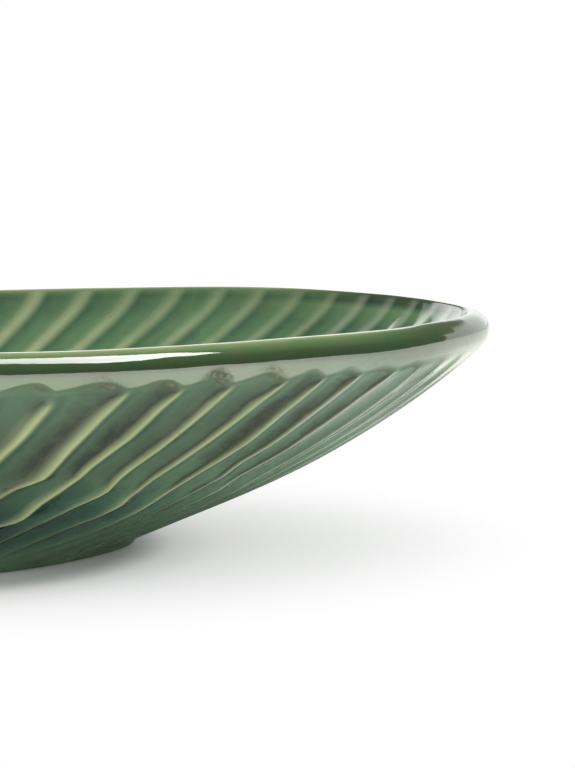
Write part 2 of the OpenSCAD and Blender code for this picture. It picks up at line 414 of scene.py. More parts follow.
# The gouges end above in round finger tops, under the plain band; towards the tip they run out softly
FINGER_TOP, FINGER_ARCH, FINGER_LEAN, FINGER_SINK = 10.5, 1.75, 1.6, 0.36
RUN_OUT, RUN_OUT_BY_TIP, RUN_OUT_AT_TIP = 1.6, 1.0, 3.0
by_tip, close_to_tip = towards_tip(0.55, 0.85), towards_tip(0.7, 0.87)
run_out = RUN_OUT + RUN_OUT_BY_TIP*by_tip + RUN_OUT_AT_TIP*close_to_tip
leaning = way**FINGER_LEAN
arch = 0.5*np.sin(np.pi*leaning)**0.8 + 0.25 - 0.25*np.cos(2*np.pi*leaning)
finger_top = FINGER_TOP - FINGER_ARCH*arch*(1 - 0.2*by_tip) + across_ribs(finger_lift)
finger_top = finger_top - FINGER_SINK*crest_sink(lip_angles)
below_finger = below_crest - finger_top

depth = np.zeros((ROWS, COLUMNS))
reach = 1 - np.exp(-np.clip(below_finger, 0, None)/run_out)
on_band = (row_kind == "lip") & (row_share < 0)
on_outside = (row_kind == "wall") | on_band
wall_share = np.where(on_band, 1.0, row_share)
foot_fade = smooth(0.01, 0.18, wall_share)
strength = across_ribs(rib_strength)*pleat*(1 - 0.5*towards_tip(0.35, 0.75))
full_gouge = RIB_DEPTH*hollow*strength
depth[on_outside] = (full_gouge*reach*foot_fade[:, None])[on_outside]

# Inside, soft ribs stand behind the hollows of the outside, and under the lip they lean on to the tip
INSIDE_LEAN, INSIDE_SHARPNESS = 0.2, 1.4
on_inner, on_floor = row_kind == "inner", row_kind == "floor"
inside_share = np.where(on_inner, row_share, np.where(on_floor, 0.0, 1.0))
inside_way = (way - INSIDE_LEAN*smooth(0.5, 1.0, inside_share)[:, None]) % 1
inner_hollow = 1 - (0.5 - 0.5*np.cos(2*np.pi*inside_way))**INSIDE_SHARPNESS
inner_reach = np.where(on_inner, smooth(1.0, 0.95, row_share), np.where(on_floor, 1 - row_share, 0))
depth += INNER_RIB_DEPTH*inner_hollow*pleat*inner_reach[:, None]


# Unevenness left by the hand: a sum of slow waves over the skin
def waves(count, least, most, seed):
    """Slow waves over the skin, of about the lengths given, between -1 and 1."""
    draw = np.random.default_rng(seed)
    total = 0
    for _ in range(count):
        way_of = unit(draw.normal(size=3))
        total = total + np.sin(skin @ way_of*2*np.pi/draw.uniform(least, most) + draw.uniform(0, 6.3))
    return total/count


# The wall sways fully, and the lip a little
SWAY, LEAST_SWAY, LIP_SWAY = 0.22, 0.07, 0.4
sway_share = np.where(np.isin(row_kind, ("wall", "inner")), smooth(0, 0.15, row_share), 0)
sway_share[row_kind == "lip"] = LIP_SWAY
depth += sway_share[:, None]*(SWAY*waves(7, 14, 45, 3) + LEAST_SWAY)
depth = np.maximum(depth, 0)

front = skin - normals*depth[..., None]
# The midrib's points are shared by both halves
mirror_of = (COLUMNS - np.arange(COLUMNS)) % COLUMNS

# Thickness of the glaze, from 0 where it is olive to 1 where it has pooled, and where it breaks pale over
# the ribs. The tables run across a hollow, from the rib on the stem's side to the rib on the tip's side.
valley_pool = np.interp(way, [0, 0.06, 0.1, 0.15, 0.26, 0.38, 0.48, 0.56, 0.74, 0.82, 0.9, 1],
                        [0.74, 0.8, 0.84, 0.82, 0.74, 0.7, 0.68, 0.67, 0.62, 0.5, 0.3, 0.22])
brown_pool = np.interp(way, [0, 0.18, 0.28, 0.38, 0.48, 0.56, 0.74, 0.82, 1],
                       [0, 0, 0.05, 0.11, 0.16, 0.19, 0.18, 0.11, 0])
low_pool = np.interp(way, [0, 0.1, 0.4, 0.8, 1], [0.98, 1.0, 0.95, 0.92, 0.9])
inside_pool = np.interp(inside_way, [0, 0.3, 0.5, 0.62, 0.72, 1], [0.74, 0.7, 0.68, 0.8, 0.88, 0.74])
inside_pale = 0.7*np.interp(inside_way, [0.22, 0.34, 0.42, 0.5, 0.58, 0.65, 0.74],
                            [0, 0.35, 0.85, 1, 0.85, 0.4, 0])
# Thickness where it is even: on the plain band, the foot, beside the tip, under a finger's top, in an olive
# spot, on the lip and on the floor
PLAIN_POOL, FOOT_POOL, TIP_POOL, FINGER_POOL, OLIVE_POOL = 0.66, 0.56, 0.72, 0.68, 0.2
LIP_POOL, FLOOR_POOL = 0.54, 0.8
# Lengths below a finger's top: how far its even glaze reaches, where a break begins, and where it widens
FINGER_EDGE, BREAK_BEGINS, BREAK_WIDENS = 2.2, (-0.7, 2.2), (-0.5, 8.0)
stripe_reach = np.where(on_inner, 1, np.where(on_floor, 1 - row_share, 0))
stripe_reach[lip] = smooth(110, 165, np.array(LIP_TURNS))
finger_edge = np.exp(-np.clip(below_finger, 0, None)/FINGER_EDGE)


def finger_spot(below, across):
    """A spot at every finger's top, by middle and spread: below the top, and across the hollow."""
    return bell(below_finger, *below)*bell(way, *across)


olive = finger_spot((1.0, 0.9), (0.76, 0.15))*olive_spot[tip_rib_of]


def outside_breaks(r, under_tip, under_stem):
    """How pale the glaze breaks along a row of the outside: broadly above a rib's bend, thinly below it."""
    below_start = below_finger[r] - across_ribs(pale_start)
    thinner = 1 - 0.5*smooth(0, 0.05, under_tip) + 0.1*bell(under_tip, -0.015, 0.028)
    width = 0.6*pale_width[tip_rib_of]*thinner*(0.35 + 0.65*smooth(*BREAK_WIDENS, below_start))
    on_rib = np.interp((1 - way)/width, [0, 0.05, 0.12, 0.22, 0.45], [1, 0.92, 0.62, 0.3, 0])
    on_rib = on_rib*(1 - 0.75*smooth(0, 0.2, under_tip))*(0.6 + 0.4*smooth(0.15, 0.45, wall_share[r]))
    off_rib = np.interp(way, [0, 0.03, 0.07, 0.12], [1, 0.7, 0.25, 0])
    off_rib = off_rib*(1 - 0.75*smooth(0, 0.2, under_stem))
    begun = smooth(*BREAK_BEGINS, below_start)
    return np.maximum(on_rib, off_rib)*pleat*foot_fade[r]*begun, begun


def outside_pools(r, under_tip, under_stem, begun):
    """Thickness of the glaze along a row of the outside: even on the band, pooled in the hollows below."""
    share = wall_share[r]
    low = np.maximum(smooth(0.02, 0.1, under_tip), smooth(0.68, 0.36, share))
    high_pool = valley_pool - brown_pool*brown[tip_rib_of]*smooth(0.58, 0.74, share)
    pooled = blend(high_pool, low_pool, low*(1 - 0.6*towards_tip(0.4, 0.75)))
    # Under a bend the glaze has run into the corner that it leaves
    corner = np.where(under_stem > -0.01, np.clip(1 - under_stem/0.16, 0, 1), 0)
    pooled = pooled + 0.2*corner*smooth(0.5*corner + 0.05, 0.03, way)
    pooled = blend(pooled, TIP_POOL, 0.2*towards_tip(0.5, 0.8) + 0.65*close_to_tip)
    pooled = blend(FOOT_POOL, pooled, foot_fade[r])
    pooled = blend(pooled, FINGER_POOL, (1 - begun)*smooth(0.55, 0.85, way))
    return blend(PLAIN_POOL, pooled, (1 - finger_edge[r])*pleat)


def outside_glaze(r):
    """Thickness of the glaze along a row of the outside, and how pale it breaks there."""
    under_tip, under_stem = bend_share[tip_rib_of] - wall_share[r], bend_share[stem_rib_of] - wall_share[r]
    breaks, begun = outside_breaks(r, under_tip, under_stem)
    pooled = outside_pools(r, under_tip, under_stem, begun)
    return blend(pooled, OLIVE_POOL, 0.75*olive[r]), np.maximum(breaks, 0.25*olive[r])


def inside_glaze(r):
    """Thickness of the glaze along a row of the lip or the inside, and how pale its stripes are there."""
    even = LIP_POOL if row_kind[r] == "lip" else FLOOR_POOL
    striped = pleat*stripe_reach[r]
    fading = 1 - 0.45*towards_tip(0.3, 0.75) + 0.25*towards_tip(0.4, 0.1)
    fading = fading*(1.14 - 0.3*smooth(0.78, 1.0, inside_share[r]))
    return blend(even, inside_pool[r], striped), inside_pale[r]*striped*fading


pool, pale = np.zeros((ROWS, COLUMNS)), np.zeros((ROWS, COLUMNS))
for r in range(ROWS):
    glaze_of = outside_glaze if on_outside[r] or row_kind[r] == "foot" else inside_glaze
    pool[r], pale[r] = glaze_of(r)

# Painted light and shade, multiplied into the glaze's colour. Over the lip it is painted light where
# the face looks up, most on the crest, and painted dark where it looks out under the crest; towards
# the tip the lip is painted evenly dark, down to the band's upper part. The outside is painted lighter
# at the foot, in the table's shadow, darker up its middle, and lighter towards the tip. The inside is
# painted lighter; towards the tip it is painted darker, but lighter along the rim's inner edge.
LIP_LIGHT_SHADE = ([-3, 0, 12, 28, 40, 62, 90, 140, 170], [1.0, 0.36, 0.42, 0.58, 1.1, 2.5, 3.0, 1.5, 1.1])
WALL_LIGHT_SHADE = ([0, 0.06, 0.1, 0.2, 0.4, 0.85, 1], [1.7, 1.1, 0.95, 0.8, 0.7, 0.7, 0.9])
TIP_LIP_SHADE, INSIDE_LIGHT, INSIDE_TIP_LIGHT, INSIDE_TIP_SHADE = 0.48, 1.34, 0.3, 0.68
outer_share = row_share[outer]
light_and_shade = np.ones((ROWS, COLUMNS))
light_and_shade[outer] = np.interp(outer_share, *WALL_LIGHT_SHADE)[:, None]*(1 + 0.4*towards_tip(0.45, 0.8))
lower_wall = smooth(0.88, 0.68, outer_share)*smooth(0.32, 0.5, outer_share)
light_and_shade[outer] *= 1 + 0.34*lower_wall[:, None]*towards_tip(0.32, 0.52)
lip_light_shade = np.interp(LIP_TURNS, *LIP_LIGHT_SHADE)
tip_light_shade = blend(lip_light_shade, TIP_LIP_SHADE, smooth(-14, -4, np.array(LIP_TURNS)))
light_and_shade[lip] = blend(lip_light_shade[:, None], tip_light_shade[:, None], towards_tip(0.6, 0.9))
below_rim = smooth(1.0, 0.93, inside_share[inner])[:, None]
light_and_shade[inner] = INSIDE_LIGHT + (INSIDE_TIP_LIGHT - INSIDE_TIP_SHADE*below_rim)*towards_tip(0.5, 0.8)

# Towards the tip the pale breaks turn whitish grey, a painted reflection; over the lip and inside a
# quarter of it is there everywhere, and near the tip all of it
tip_reflection = np.zeros((ROWS, COLUMNS))
tip_reflection[outer] = towards_tip(0.45, 0.8)
tip_reflection[lip_first:] = 0.25 + 0.75*towards_tip(0.74, 0.92)

# Where the glaze has the lip's olive: over the lip, less inside, and on the band down to the finger tops
LIP_OLIVE = ([-4.5, 0, 110, 170], [0, 1, 1, 0.35])
BAND_OLIVE, INSIDE_OLIVE, INSIDE_TIP_OLIVE = 0.8, 0.35, 0.3
on_lip = np.zeros((ROWS, COLUMNS))
on_lip[lip] = np.interp(LIP_TURNS, *LIP_OLIVE)[:, None]
on_lip[inner] = INSIDE_OLIVE + INSIDE_TIP_OLIVE*(1 - below_rim)*towards_tip(0.3, 0.7)
band_olive = BAND_OLIVE*smooth(0.9, -0.6, below_finger)*towards_tip(0.75, 0.45)
on_lip[on_outside] = np.maximum(on_lip, band_olive)[on_outside]

# Places at the finger tops where the glaze is specked
SPECKS_AT_MOST = 1.8
speck_place = SPECKS_AT_MOST*finger_spot((-0.6, 1.0), (0.7, 0.33))*pleat*burn[tip_rib_of]
speck_place[crest_row:] = 0


def face_grid(row_count):
    """Faces between rows of points that each close into a ring."""
    first = np.arange(row_count - 1)[:, None]*COLUMNS
    here = np.arange(COLUMNS)[None, :]
    there = (here + 1) % COLUMNS
    quads = np.stack([first + here, first + there, first + COLUMNS + there, first + COLUMNS + here], -1)
    return quads.reshape(-1, 4)


def paint(mesh, label, values):
    """Gives every point of a mesh a value, which its material can read."""
    layer = mesh.attributes.new(label, "FLOAT", "POINT")
    layer.data.foreach_set("value", np.asarray(values, np.float32))


def set_out(name, data):
    """Puts a mesh, a light or a camera into the scene."""
    made = bpy.data.objects.new(name, data)
    bpy.context.scene.collection.objects.link(made)
    return made


def make_piece(name, points, faces, material, attributes=()):
    """A piece of the plate, with its points in millimetres and values for its material."""
    mesh = bpy.data.meshes.new(name)
    mesh.from_pydata((points*MM).tolist(), [], faces)
    for label, values in attributes:
        paint(mesh, label, values)
    mesh.polygons.foreach_set("use_smooth", [True]*len(mesh.polygons))
    mesh.materials.append(material)
    mesh.validate()
    mesh.update()
    return set_out(name, mesh)


def joined_midrib(grid_rows):
    """Points of the rows in one list, and the faces of the rows, with the last row's two halves joined."""
    count = len(grid_rows)
    points = grid_rows.reshape(-1, 3)
    last = (count - 1)*COLUMNS
    pairs = np.minimum(np.arange(COLUMNS), mirror_of)
    renumber = np.arange(count*COLUMNS)
    renumber[last:] = last + pairs
    faces = renumber[face_grid(count)]
    return points, faces


def tidy_faces(faces):
    """Drops repeated corners, and faces that have fewer than three."""
    kept = []
    for face in faces.tolist():
        corners = [c for i, c in enumerate(face) if c != face[i - 1]]
        if len(set(corners)) > 2:
            kept.append(corners)
    return kept


def only_used(points, faces, attributes):
    """Leaves out points that no face uses."""
    used = np.zeros(len(points), bool)
    used[[c for face in faces for c in face]] = True
    place = np.cumsum(used) - 1
    renumbered = [[int(place[c]) for c in face] for face in faces]
    return points[used], renumbered, [(name, values[used]) for name, values in attributes]


# Back of the glaze, on the clay: few rows are enough, because nothing shows it
BACK_DEPTH = 0.9
back_rows = [0, 2, wall_first + 1, wall_first + 5, wall_first + 13, wall_first + 31, wall_last - 4,
             lip_first + LIP_TURNS.index(0), crest_row, inner_first, inner_first + 3, inner_first + 7,
             inner_last - 6, inner_last - 3, inner_last - 1, floor_first, floor_first + 1, floor_first + 3,
             ROWS - 1]
back_depth = np.zeros((ROWS, COLUMNS))
for r in back_rows:
    back_depth[r] = BACK_DEPTH + depth[r]
    if row_kind[r] == "wall":
        back_depth[r] = BACK_DEPTH + np.maximum(depth[r], full_gouge*foot_fade[r])
    elif row_kind[r] == "foot":
        back_depth[r] = GLAZE_T
back = skin[back_rows] - normals[back_rows]*back_depth[back_rows][..., None]
back[0] = foot_ring(FOOT_DRAFT*(1 - BARE_H/FOOT_H) + GLAZE_T, BARE_H)


# Materials
def empty_tree(owner):
    owner.use_nodes = True
    owner.node_tree.nodes.clear()
    return owner.node_tree


def new_material(name):
    material = bpy.data.materials.new(name)
    return material, empty_tree(material)


def add(tree, kind, **settings):
    node = tree.nodes.new(kind)
    for key, value in settings.items():
        if key in node.inputs:
            node.inputs[key].default_value = value
        else:
            setattr(node, key, value)
    return node


def feed(tree, socket, value):
    """Gives a socket a number or a colour, or links it to where its value comes from."""
    if isinstance(value, (int, float)):
        socket.default_value = value
    elif isinstance(value, tuple):
        socket.default_value = (*value, 1)
    else:
        tree.links.new(value, socket)


def math(tree, operation, a, b, clamp=False):
    node = add(tree, "ShaderNodeMath", operation=operation, use_clamp=clamp)
    feed(tree, node.inputs[0], a)
    feed(tree, node.inputs[1], b)
    return node.outputs[0]


def mix_colour(tree, factor, a, b, kind="MIX"):
    node = add(tree, "ShaderNodeMix", data_type="RGBA", blend_type=kind)
    for i, value in ((0, factor), (6, a), (7, b)):
        feed(tree, node.inputs[i], value)
    return node.outputs[2]


def ramp(tree, factor, stops):
    node = add(tree, "ShaderNodeValToRGB")
    while len(node.color_ramp.elements) < len(stops):
        node.color_ramp.elements.new(0.5)
    for element, (place, colour) in zip(node.color_ramp.elements, stops):
        element.position = place
        element.color = (*colour, 1)
    tree.links.new(factor, node.inputs[0])
    return node.outputs[0]


def ramp_value(tree, value, low, high):
    """Share of the way of a value from low to high."""
    node = add(tree, "ShaderNodeMapRange", **{"From Min": low, "From Max": high})
    tree.links.new(value, node.inputs["Value"])
    return node.outputs["Result"]


def plus_share(tree, base, value, share, clamp=False):
    """A base with a share of a value added to it."""
    return math(tree, "ADD", base, math(tree, "MULTIPLY", value, share), clamp)


def grey(tree, value):
    node = add(tree, "ShaderNodeCombineColor")
    for i in range(3):
        tree.links.new(value, node.inputs[i])
    return node.outputs[0]


def painted(tree, name):
    """A value that the mesh carries at its points."""
    return add(tree, "ShaderNodeAttribute", attribute_name=name).outputs["Fac"]


def finish_material(tree, shader):
    out = add(tree, "ShaderNodeOutputMaterial")
    tree.links.new(shader.outputs[0], out.inputs["Surface"])


def finish_fired(tree, colour, rough, ior, relief, strength, depth):
    """Ends the material of a fired surface, which is uneven by the relief."""
    shader = add(tree, "ShaderNodeBsdfPrincipled", IOR=ior)
    tree.links.new(colour, shader.inputs["Base Color"])
    tree.links.new(rough, shader.inputs["Roughness"])
    bump = add(tree, "ShaderNodeBump", Strength=strength, Distance=depth)
    tree.links.new(relief, bump.inputs["Height"])
    tree.links.new(bump.outputs["Normal"], shader.inputs["Normal"])
    finish_material(tree, shader)


def glaze_flow_group():
    """Unevenness of a poured glaze: how its thickness drifts, where it is specked, and how it ripples."""
    group = bpy.data.node_groups.new("glaze flow", "ShaderNodeTree")
    for name, scale in (("Drift Scale", 90.0), ("Speck Scale", 900.0), ("Ripple Scale", 160.0)):
        socket = group.interface.new_socket(name=name, in_out="INPUT", socket_type="NodeSocketFloat")
        socket.default_value = scale
    for name in ("Drift", "Tone", "Specks", "Ripple"):
        group.interface.new_socket(name=name, in_out="OUTPUT", socket_type="NodeSocketFloat")
    given, found = add(group, "NodeGroupInput"), add(group, "NodeGroupOutput")
    where = add(group, "ShaderNodeTexCoord").outputs["Object"]

    def noise(scale, detail, rough=0.55, distortion=0.0):
        node = add(group, "ShaderNodeTexNoise", Detail=detail, Roughness=rough, Distortion=distortion)
        group.links.new(where, node.inputs["Vector"])
        group.links.new(scale, node.inputs["Scale"])
        return node.outputs["Fac"]

    drift_scale = given.outputs["Drift Scale"]
    drift = math(group, "SUBTRACT", noise(drift_scale, 4, 0.6, 0.4), 0.5)
    light_and_shade = math(group, "SUBTRACT", noise(math(group, "MULTIPLY", drift_scale, 0.35), 3), 0.5)
    specks = noise(given.outputs["Speck Scale"], 3, 0.7)
    ripple = noise(given.outputs["Ripple Scale"], 2, 0.4)
    for name, value in (("Drift", drift), ("Tone", light_and_shade), ("Specks", specks), ("Ripple", ripple)):
        group.links.new(value, found.inputs[name])
    return group


glaze_flow = glaze_flow_group()


def place_flow(tree, **values):
    node = add(tree, "ShaderNodeGroup")
    node.node_tree = glaze_flow
    for name, value in values.items():
        node.inputs[name.replace("_", " ")].default_value = value
    return node.outputs


# Colours of the glaze by its thickness, where it is plain on the lip, and where it breaks over the ribs;
# the whitish one is the painted reflection that the pale breaks take towards the tip
GLAZE_STOPS = [
    (0.00, (0.30, 0.36, 0.13)),
    (0.25, (0.17, 0.225, 0.075)),
    (0.36, (0.072, 0.098, 0.036)),
    (0.45, (0.025, 0.041, 0.015)),
    (0.56, (0.083, 0.147, 0.077)),
    (0.70, (0.118, 0.224, 0.120)),
    (0.85, (0.056, 0.147, 0.091)),
    (1.00, (0.026, 0.066, 0.052)),
]
LIP_STOPS = [(0.30, (0.078, 0.178, 0.062)), (0.45, (0.094, 0.170, 0.058)), (0.70, (0.136, 0.160, 0.072))]
PALE_GLAZE, REFLECTED_PALE = (0.48, 0.565, 0.275), (0.60, 0.64, 0.54)
BURNT_GLAZE, STRAY_SPECK = (0.045, 0.05, 0.03), (0.05, 0.045, 0.02)
# How much the glaze's drift changes its thickness, its colour on the lip and its pale breaks, and its shade
POOL_DRIFT, LIP_DRIFT, PALE_DRIFT, SHADE_DRIFT = 0.42, 0.85, 0.5, 0.5
# Where in the lip's colours the glaze lies without painted light, and how much further towards the
# olive each step of painted light moves it
LIP_DARK, LIP_LIGHTER = 0.3, 0.15
GLAZE_IOR, RIPPLE_H = 1.6, 0.4*MM
CLAY_IOR, GRAIN_H = 1.45, 0.3*MM


def green_glaze_material():
    material, tree = new_material("green glaze")
    flow = place_flow(tree, Drift_Scale=95.0, Speck_Scale=1100.0, Ripple_Scale=150.0)
    # Painted light and shade, carried by the mesh
    light_and_shade = painted(tree, "painted_light_and_shade")
    thickness = plus_share(tree, painted(tree, "glaze_depth"), flow["Drift"], POOL_DRIFT, clamp=True)
    lit_lip_place = plus_share(tree, LIP_DARK, light_and_shade, LIP_LIGHTER)
    lip_colour = ramp(tree, plus_share(tree, lit_lip_place, flow["Drift"], LIP_DRIFT), LIP_STOPS)
    colour = mix_colour(tree, painted(tree, "on_lip"), ramp(tree, thickness, GLAZE_STOPS), lip_colour)
    # The painted light and shade is multiplied into the colour
    colour = mix_colour(tree, 1.0, colour, grey(tree, light_and_shade), "MULTIPLY")
    uneven = plus_share(tree, 1.0, flow["Drift"], PALE_DRIFT)
    pale = math(tree, "MULTIPLY", painted(tree, "pale_rib"), uneven, clamp=True)
    # Towards the tip the pale breaks take a painted reflection
    pale_colour = mix_colour(tree, painted(tree, "tip_reflection"), PALE_GLAZE, REFLECTED_PALE)
    colour = mix_colour(tree, pale, colour, pale_colour)
    shade = plus_share(tree, 1.0, flow["Tone"], SHADE_DRIFT)
    colour = mix_colour(tree, 1.0, colour, grey(tree, shade), "MULTIPLY")
    smoky = plus_share(tree, 0.45, ramp_value(tree, flow["Specks"], 0.37, 0.57), 0.55)
    burnt = math(tree, "MULTIPLY", painted(tree, "speck_place"), smoky, clamp=True)
    colour = mix_colour(tree, burnt, colour, BURNT_GLAZE)
    stray = ramp_value(tree, flow["Specks"], 0.69, 0.74)
    colour = mix_colour(tree, math(tree, "MULTIPLY", stray, 0.7), colour, STRAY_SPECK)
    rough = plus_share(tree, 0.045, burnt, 0.75)
    finish_fired(tree, colour, rough, GLAZE_IOR, flow["Ripple"], 0.35, RIPPLE_H)
    return material


def well_glaze_material():
    material, tree = new_material("well glaze")
    flow = place_flow(tree, Drift_Scale=70.0, Speck_Scale=900.0, Ripple_Scale=120.0)
    colour = ramp(tree, plus_share(tree, 0.78, flow["Drift"], 0.6, clamp=True), GLAZE_STOPS)
    stray = ramp_value(tree, flow["Specks"], 0.64, 0.7)
    colour = mix_colour(tree, math(tree, "MULTIPLY", stray, 0.8), colour, STRAY_SPECK)
    rough = plus_share(tree, 0.06, stray, 0.2)
    finish_fired(tree, colour, rough, GLAZE_IOR, flow["Ripple"], 0.3, RIPPLE_H)
    return material


def bare_clay_material():
    material, tree = new_material("bare clay")
    where = add(tree, "ShaderNodeTexCoord").outputs["Object"]

    def noise(scale, detail):
        node = add(tree, "ShaderNodeTexNoise", Scale=scale, Detail=detail, Roughness=0.65)
        tree.links.new(where, node.inputs["Vector"])
        return node.outputs["Fac"]

    grain = noise(1400.0, 4)
    stain = noise(60.0, 3)
    colour = ramp(tree, stain, [(0.3, (0.42, 0.33, 0.22)), (0.7, (0.55, 0.46, 0.33))])
    colour = mix_colour(tree, ramp_value(tree, grain, 0.62, 0.72), colour, (0.16, 0.10, 0.06))
    finish_fired(tree, colour, plus_share(tree, 0.7, grain, 0.2), CLAY_IOR, grain, 0.5, GRAIN_H)
    return material


green_glaze = green_glaze_material()
well_glaze = well_glaze_material()
bare_clay = bare_clay_material()

# The coat of glaze: its face, its back on the clay, and its edge on the foot between them
front_points, front_faces = joined_midrib(front)
back_points, back_faces = joined_midrib(back)
start = len(front_points)
edge_here = np.arange(COLUMNS)
edge_there = (edge_here + 1) % COLUMNS
edge_faces = np.stack([edge_there, edge_here, start + edge_here, start + edge_there], -1)
coat_faces = tidy_faces(np.concatenate([front_faces, back_faces[:, ::-1] + start, edge_faces]))
coat_points = np.concatenate([front_points, back_points])
# What the face shows of the glaze, with its painted light and shade and painted reflection, and one
# value for all of the back
coat_looks = (("glaze_depth", pool, 0.6), ("pale_rib", pale, 0), ("painted_light_and_shade", light_and_shade, 1),
              ("tip_reflection", tip_reflection, 0), ("on_lip", on_lip, 0), ("speck_place", speck_place, 0))
coat_values = [(name, np.concatenate([face.ravel(), np.full(len(back_points), hidden)]))
               for name, face, hidden in coat_looks]
coat_points, coat_faces, coat_values = only_used(coat_points, coat_faces, coat_values)
leaf_glaze = make_piece("leaf_glaze", coat_points, coat_faces, green_glaze, coat_values)

# The clay under it: the well, the bare ring that stands on the table with softened edges, and the body
BARE_INSET = FOOT_DRAFT + GLAZE_T
RING_INSET = BARE_INSET + FOOT_RING_W
WELL_INSET = RING_INSET + WELL_DRAFT*WELL_DEPTH
RING_ROWS = ((WELL_INSET, WELL_DEPTH), (RING_INSET + 0.35, 0.45), (RING_INSET + 0.1, 0.12),
             (RING_INSET - 0.35, 0.0), (BARE_INSET + 0.45, 0.0), (BARE_INSET + 0.1, 0.1),
             (BARE_INSET - 0.15, 0.35))
ring_rows = np.array([foot_ring(inset, z) for inset, z in RING_ROWS])
clay_points, clay_faces = joined_midrib(np.concatenate([ring_rows, back]))
middle = len(clay_points)
clay_points = np.concatenate([clay_points, [[-FOOT_X, 0, WELL_DEPTH]]])
well_fan = np.stack([np.full(COLUMNS, middle), edge_here, edge_there], -1)
clay_faces = tidy_faces(clay_faces) + well_fan.tolist()
clay_points, clay_faces, _ = only_used(clay_points, clay_faces, [])
leaf_clay = make_piece("leaf_clay", clay_points, clay_faces, bare_clay)

# The pool of glaze in the well, which creeps up the ring's inner side
POOL_EDGE_Z, POOL_Z = 0.62, 1.0
POOL_ROWS = ((0.0, POOL_EDGE_Z), (0.35, 0.82), (0.9, 0.94), (2.2, POOL_Z), (10.0, POOL_Z), (22.0, POOL_Z))
pool_edge = RING_INSET + WELL_DRAFT*POOL_EDGE_Z
pool_rows = [foot_ring(pool_edge + inset, z) for inset, z in POOL_ROWS]
pool_rows.append(foot_ring(WELL_INSET, WELL_DEPTH))
pool_points = np.concatenate([*pool_rows, [[-FOOT_X, 0, POOL_Z], [-FOOT_X, 0, WELL_DEPTH]]])
last_row, top_row = (len(POOL_ROWS) - 1)*COLUMNS, len(POOL_ROWS)*COLUMNS
under_middle = np.full(COLUMNS, top_row + COLUMNS)
top_middle = under_middle + 1
pool_faces = face_grid(len(POOL_ROWS))[:, ::-1].tolist()
for corners in ((last_row + edge_there, last_row + edge_here, under_middle),
                (edge_here, edge_there, top_row + edge_there, top_row + edge_here),
                (top_row + edge_here, top_row + edge_there, top_middle)):
    pool_faces += np.stack(corners, -1).tolist()
well_pool = make_piece("well_pool", pool_points, pool_faces, well_glaze)

for piece, node, slot in ((leaf_glaze, "glaze_coat", "green_glaze"), (leaf_clay, "clay_body", "bare_clay"),
                          (well_pool, "underside_glaze", "well_glaze")):
    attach(piece, "root")
    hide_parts(node)


# Table, light and camera
def card(name, corners, material, faces=None, **seen):
    """A card of the studio, with its corners in millimetres."""
    mesh = bpy.data.meshes.new(name)
    mesh.from_pydata([(x*MM, y*MM, z*MM) for x, y, z in corners], [], faces or [list(range(len(corners)))])
    mesh.materials.append(material)
    made = set_out(name, mesh)
    for kind, value in seen.items():
        setattr(made, "visible_" + kind, value)
    return made


# What only the plate's polish sees
ONLY_POLISH = {"camera": False, "diffuse": False, "shadow": False, "transmission": False}
TABLE_HALF = 4000.0
# How much of the table's own shadow melts into the white, by the distance from the foot: 0.1 is on the
# ellipse with these half axes, and 0.2 twice as far out.
SHADOW_MIDDLE, SHADOW_AXES = (-30.0, 0.0), (60.0, 55.0)
TABLE_WHITE = ((0.105, 0.08), (0.112, 0.19), (0.122, 0.45), (0.14, 0.61), (0.16, 0.67), (0.19, 0.71),
               (0.22, 0.76), (0.245, 0.86), (0.265, 1.0))


def table_material():
    """White table: near the plate it keeps the shadow, and further off it melts into the white behind."""
    material, tree = new_material("white table")
    shader = add(tree, "ShaderNodeBsdfDiffuse", Color=(0.93, 0.93, 0.93, 1))
    white = add(tree, "ShaderNodeEmission", Color=(1, 1, 1, 1), Strength=1.0)
    from_foot = add(tree, "ShaderNodeMapping", vector_type="TEXTURE")
    from_foot.inputs["Location"].default_value = (SHADOW_MIDDLE[0]*MM, SHADOW_MIDDLE[1]*MM, 0)
    from_foot.inputs["Scale"].default_value = (SHADOW_AXES[0]*MM, SHADOW_AXES[1]*MM, 1)
    away = add(tree, "ShaderNodeVectorMath", operation="LENGTH")
    far_share = ramp(tree, math(tree, "DIVIDE", away.outputs["Value"], 10.0),
                     [(place, (share,)*3) for place, share in TABLE_WHITE])
    seen = add(tree, "ShaderNodeLightPath").outputs["Is Camera Ray"]
    shown = add(tree, "ShaderNodeMixShader")
    pick = add(tree, "ShaderNodeMixShader")
    for source, target in ((add(tree, "ShaderNodeTexCoord").outputs["Object"], from_foot.inputs[0]),
                           (from_foot.outputs[0], away.inputs[0]),
                           (far_share, shown.inputs[0]), (shader.outputs[0], shown.inputs[1]),
                           (white.outputs[0], shown.inputs[2]), (seen, pick.inputs[0]),
                           (shader.outputs[0], pick.inputs[1]), (shown.outputs[0], pick.inputs[2])):
        tree.links.new(source, target)
    finish_material(tree, pick)
    return material


def glow_card(name, points, faces, values, colour):
    """A card that only polish sees, as bright at each point as the values say."""
    material, tree = new_material(name.replace("_", " "))
    glow = add(tree, "ShaderNodeEmission", Color=(*colour, 1))
    tree.links.new(painted(tree, "glow"), glow.inputs["Strength"])
    finish_material(tree, glow)
    paint(card(name, points, material, faces, **ONLY_POLISH).data, "glow", values)


table_corners = [(x*TABLE_HALF, y*TABLE_HALF, 0) for x, y in ((-1, -1), (1, -1), (1, 1), (-1, 1))]
card("table", table_corners, table_material())

# The bright table around the plate is seen only in its polish, where it turns the band under the lip pale:
# how bright it is at most, by the turn around the plate in degrees, and at least, beside the plate
GLOW_MOST = ([-165, -75, -50, -20, 5, 25, 45, 60], [4.6, 4.6, 5.2, 4.2, 3.1, 2.0, 1.2, 0.9])
GLOW_LEAST, GLOW_Z, GLOW_COLOUR, GLOW_TURNS = 0.5, 1.0, (1, 1, 0.92), 46
